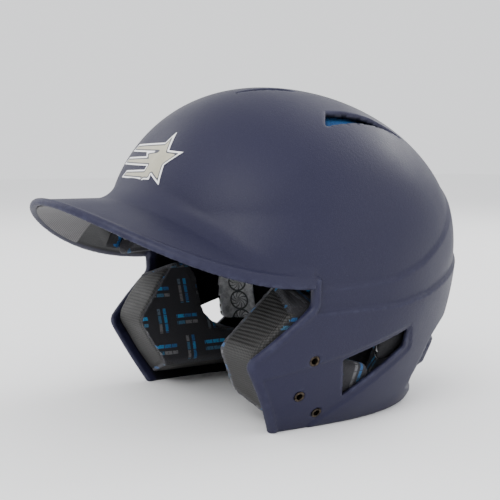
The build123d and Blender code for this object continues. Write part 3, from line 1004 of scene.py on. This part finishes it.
def film_looks():
    """Grey film with a fine ribbed weave."""
    look = Looks("brim_film_grey", (("Specular IOR Level", 0.35),))
    u, v = look.uv()
    where = look.place()
    ribs = weave(look, u, v, 3.0, turned=True)
    cloud = look.noise(where, 45, 3)
    body = look.mix(look.step(ribs, 0.25, 0.75), (0.040, 0.039, 0.041), (0.165, 0.160, 0.165))
    look.colour(look.mix(look.math("MULTIPLY", cloud, 0.3), body, (0.10, 0.095, 0.10)))
    look.rough(look.math("MULTIPLY_ADD", cloud, 0.2, 0.55))
    look.bump(ribs, 0.2)
    return look.material


def print_ground(look, thin, full):
    """Vinyl print of two close tones, a little worn, with a faint orange-peel surface."""
    where = look.place()
    cloud = look.noise(where, 120, 4, 0.65)
    look.rough(look.math("MULTIPLY_ADD", cloud, 0.25, 0.33))
    look.bump(look.noise(where, 800, 2), 0.03)
    return look.mix(look.step(cloud, 0.3, 0.7), thin, full)


def emblem_looks():
    """Tan fill inside a navy gap inside a white outline."""
    look = Looks("emblem_bands")
    tan = print_ground(look, (0.36, 0.34, 0.25), (0.42, 0.40, 0.30))
    border = look.attribute("border")
    inner = look.mix(look.step(border, 1.55, 1.7), (0.012, 0.014, 0.032), tan)
    look.colour(look.mix(look.step(border, 0.85, 1.0), (0.85, 0.85, 0.85), inner))
    return look.material


def numeral_looks():
    look = Looks("numeral_white")
    look.colour(print_ground(look, (0.88, 0.88, 0.88), (0.94, 0.94, 0.94)))
    return look.material


def brass_looks():
    """Dulled brass with turning marks and darker tarnish."""
    look = Looks("guard_brass", (("Metallic", 1.0),))
    where = look.place()
    tarnish = look.noise(where, 420, 4, 0.65)
    look.colour(look.mix(look.step(tarnish, 0.35, 0.65), (0.014, 0.011, 0.009), (0.085, 0.066, 0.048)))
    look.rough(look.math("MULTIPLY_ADD", tarnish, 0.35, 0.28))
    look.bump(look.noise(where, 2600, 2), 0.03)
    return look.material


PAD_RADIUS = 98.0


def set_flat_uv(piece, flatten):
    """A UV map in millimetres: flatten takes head-axis points and normals to (u, v)."""
    mesh = piece.data
    points = head_places(read(mesh.vertices, "co"))
    corner = read(mesh.loops, "vertex_index", 1, np.int32).ravel()
    sizes = read(mesh.polygons, "loop_total", 1, np.int32).ravel()
    normals = np.repeat(read(mesh.polygons, "normal"), sizes, axis=0)
    layer = mesh.uv_layers.new(name="flat")
    layer.data.foreach_set("uv", flatten(points[corner], normals).astype(np.float32).ravel())


def round_head(points, normals):
    """Unrolled about the head axis."""
    angle = np.arctan2(points[:, 0], -points[:, 1])
    return np.stack([angle * PAD_RADIUS, points[:, 2]], 1)


def from_above(points, normals):
    return points[:, :2]


def from_side(points, normals):
    return points[:, 1:]


def jaw_flat(points, normals):
    """Seen from the front, from below or else from the side, whichever the face looks towards."""
    facing = np.abs(normals) > 0.6
    flat = np.where(facing[:, 1:2], points[:, [0, 2]], points[:, 1:])
    return np.where(facing[:, 2:], points[:, :2], flat)


def face_directions(piece):
    """The x, y and z of each face's outward direction."""
    return read(piece.data.polygons, "normal").T


def face_middles(piece):
    """Each face's middle as head-axis x, y and z, moved to the +X side."""
    x, y, z = head_places(read(piece.data.polygons, "center")).T
    return np.abs(x), y, z


def choose_material(piece, second):
    """The second material on the faces where second is true, the first on the rest."""
    piece.data.polygons.foreach_set("material_index", second.astype(np.int32))


def jaw_faces(piece):
    """Vinyl on the jaw pad's front and underside, fabric on the rest and in a strip round the front."""
    _, along_y, along_z = face_directions(piece)
    _, front = jaw_pad_parts(*face_middles(piece))
    vinyl_side = (along_y < -0.35) & (front < -JAW_FABRIC_STRIP) | (along_z < -0.6)
    choose_material(piece, ~vinyl_side)


def shaded_liner_faces(piece):
    """Blue foam, with black as painted shade low down and on the faces that look forward or down."""
    _, along_y, along_z = face_directions(piece)
    _, _, height = face_middles(piece)
    choose_material(piece, (along_y < -0.5) | (along_z < -0.6) | (height < LINER_SHADE_BELOW_Z))


def ear_faces(piece):
    """The print only on the ear panel's inner face."""
    depth = -head(*face_middles(piece)) - EAR_PANEL_TOP
    choose_material(piece, depth < EAR_PRINT_DEPTH)


def mark_inside_shade(shell):
    """1 on the shell's bare inner wall and under the brim, 0 on its painted outside, as an attribute. It
    paints near-black shade there: under the brim only painted shade, on the inner wall painted shade
    together with the dark bare plastic.
    """
    x, y, z = head_places(read(shell.data.vertices, "co")).T
    across, rim = brim_parts(x, y, z)
    face_edge = polygon(FACE_CUT, y, z)
    behind_edge = np.where(z > 100, 1.0, smooth((face_edge - 5) / 1.5))
    inner_wall = smooth(-outer_face(x, y, z) - 2) * behind_edge
    underside = smooth(-rim - 3) * (across < 0.6 - BRIM_WALL / 2) * (face_edge < -2)
    mark(shell, "inside", np.maximum(inner_wall, underside))


# Feeds the shell's paler edges: a painted highlight on convex edges, broken up in patches like wear.
def mark_edge_highlight_and_wear(piece):
    """How sharply the surface turns outward at each vertex, as an attribute from 0 to 1."""
    mesh = piece.data
    count = len(mesh.vertices)
    points, normals = read(mesh.vertices, "co"), read(mesh.vertex_normals, "vector")
    a, b = read(mesh.edges, "vertices", 2, np.int32).T
    along = points[b] - points[a]
    turn = np.sum((normals[b] - normals[a]) * along, 1) / np.maximum(np.sum(along * along, 1), 1e-12) * MM
    total = np.bincount(a, turn, count) + np.bincount(b, turn, count)
    share = total / np.maximum(np.bincount(a, minlength=count) + np.bincount(b, minlength=count), 1)
    mark(piece, "edge", np.clip((share - 0.06) / 0.22, 0, 1))


# ---- studio

CAMERA_AZIMUTH = 57.0
CAMERA_REACH = 0.65
CAMERA_HEIGHT = 0.160
CAMERA_LENS = 71.0
AIM_DROP = 0.004  # the camera looks this far below the middle of the box
FLOOR_HALF = 6.0
# Soft lights: place, side length and power
LIGHTS = {
    "key": ((0.9, -1.3, 1.5), 1.2, 30),
    "fill": ((1.6, 0.9, 0.9), 1.4, 7),
    "left": ((-1.5, -0.8, 1.0), 1.4, 12),
    "back": ((-0.4, 1.6, 1.4), 1.2, 18),
}


def plain_material(name, colour, roughness):
    material = bpy.data.materials.new(name)
    material.use_nodes = True
    shader = material.node_tree.nodes["Principled BSDF"]
    shader.inputs["Base Color"].default_value = (*colour, 1)
    shader.inputs["Roughness"].default_value = roughness
    return material


def aim(thing, target):
    direction = target - thing.location
    thing.rotation_euler = direction.to_track_quat("-Z", "Y").to_euler()


def add_light(name, place, target, size, power):
    data = bpy.data.lights.new(name, "AREA")
    data.shape = "RECTANGLE"
    data.size = data.size_y = size
    data.energy = power
    light = bpy.data.objects.new(name, data)
    light.location = place
    bpy.context.scene.collection.objects.link(light)
    aim(light, target)


def make_studio():
    low, high = (Vector(corner) for corner in cad_box)
    centre = (low + high) / 2
    turn = math.radians(CAMERA_AZIMUTH)
    camera = bpy.data.objects.new("camera", bpy.data.cameras.new("camera"))
    camera.data.lens = CAMERA_LENS
    camera.data.sensor_width = 36
    axis = Vector((0, HEAD_SHIFT * MM, 0))
    across, ahead = math.sin(turn) * CAMERA_REACH, math.cos(turn) * CAMERA_REACH
    camera.location = axis + Vector((across, -ahead, CAMERA_HEIGHT))
    bpy.context.scene.collection.objects.link(camera)
    aim(camera, centre - Vector((0, 0, AIM_DROP)))
    bpy.context.scene.camera = camera

    floor_mesh = bpy.data.meshes.new("floor")
    corners = [(x * FLOOR_HALF, y * FLOOR_HALF, 0) for x, y in ((-1, -1), (1, -1), (1, 1), (-1, 1))]
    floor_mesh.from_pydata(corners, [], [(0, 1, 2, 3)])
    floor = bpy.data.objects.new("floor", floor_mesh)
    floor.data.materials.append(plain_material("floor_paper", (0.93, 0.93, 0.93), 0.9))
    bpy.context.scene.collection.objects.link(floor)

    world = bpy.data.worlds.new("studio")
    bpy.context.scene.world = world
    world.use_nodes = True
    sky = world.node_tree.nodes["Background"]
    sky.inputs["Color"].default_value = (0.97, 0.98, 1.0, 1)
    sky.inputs["Strength"].default_value = 1.35
    for name, (place, size, power) in LIGHTS.items():
        add_light(name, place, centre, size, power)


# ---- build

make_studio()
pieces = {
    "shell": make_shell(),
    **make_pads(),
    "front_emblem": make_emblem(),
    "left_numeral": make_numeral("left_numeral_print", NUMERAL_X),
    "right_numeral": make_numeral("right_numeral_print", -NUMERAL_X),
    "brim_underside_panel": make_film(),
}
fabric = fabric_looks("pad_fabric_dashes", DASH_TURN)
upright_fabric = fabric_looks("jaw_fabric_dashes", 0.0)
foam = foam_looks("liner_foam_blue", (0.002, 0.022, 0.080), (0.005, 0.055, 0.165))
# Black foam for the ear panel's edges and back, and black painted shade on the liners' low, forward and
# downward faces.
black_foam_and_shade = foam_looks("ear_foam_black", (0.006, 0.006, 0.007), (0.014, 0.014, 0.016))
vinyl, rosettes = vinyl_looks(), rosette_looks()
numeral_print = numeral_looks()

# How each kind of piece is finished: its slot, its materials and how its flat coordinates run
FINISHES = {
    "shell": ("shell_plastic", [shell_looks()], None),
    "front_emblem": ("emblem_print", [emblem_looks()], None),
    "numeral": ("numeral_print", [numeral_print], None),
    "brim_underside_panel": ("glare_film", [film_looks()], from_above),
    "liner": ("liner_foam", [foam, black_foam_and_shade], None),
    "jaw_pad": ("jaw_vinyl", [vinyl, upright_fabric], jaw_flat),
    "ear_panel": ("ear_panel_print", [rosettes, black_foam_and_shade], from_side),
    "crown_pad": ("pad_fabric", [fabric], from_above),
    "pad": ("pad_fabric", [fabric], round_head),
}
FACE_SPLITS = {"jaw_pad": jaw_faces, "ear_panel": ear_faces, "liner": shaded_liner_faces}

for node, piece in pieces.items():
    kind = next(kind for kind in FINISHES if node.endswith(kind))
    slot, materials, flatten = FINISHES[kind]
    for material in materials:
        piece.data.materials.append(material)
    if flatten:
        set_flat_uv(piece, flatten)
    if kind in FACE_SPLITS:
        FACE_SPLITS[kind](piece)
    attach(piece, "root")
    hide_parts(node)
mark_edge_highlight_and_wear(pieces["shell"])
mark_inside_shade(pieces["shell"])

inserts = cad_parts["guard_inserts"]
inserts.data.materials.clear()
inserts.data.materials.append(brass_looks())
